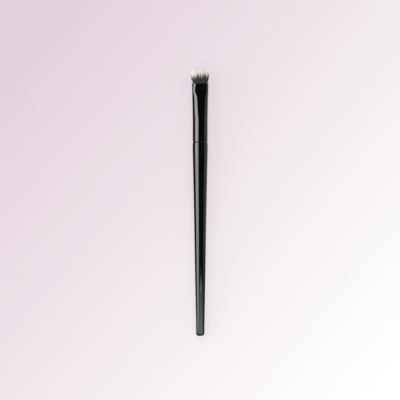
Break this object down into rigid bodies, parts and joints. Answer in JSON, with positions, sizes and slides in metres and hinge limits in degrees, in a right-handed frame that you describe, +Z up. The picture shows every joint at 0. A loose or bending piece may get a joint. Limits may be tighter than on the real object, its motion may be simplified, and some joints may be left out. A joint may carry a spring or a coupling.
{
  "type": "eyeshadow brush",
  "caption": "Slim eyeshadow brush with a flat domed bristle head, a pressed metal ferrule and a tapered handle with flats at its end.",
  "frame": {"origin": "on the table, under the middle of the brush's length and width", "axes": "+X along the brush from the butt to the bristles, +Z up from the table. One of the handle's flats faces straight down, and the flat sides of the head face up and down within 8 degrees"},
  "size_m": [0.15, 0.01, 0.0085],
  "materials": {
    "handle_lacquer": "black gloss lacquer on wood",
    "ferrule_metal": "gloss black coating on drawn aluminium",
    "bristle_fibre": "soft fibres, white tips over dark roots",
    "resin": "set epoxy resin",
    "glue": "set glue"
  },
  "bodies": {
    "root": {"handle": "handle_lacquer", "ferrule": "ferrule_metal", "bristle_tuft": "bristle_fibre", "root_resin": "resin", "tenon_glue": "glue"}
  },
  "joints": []
}
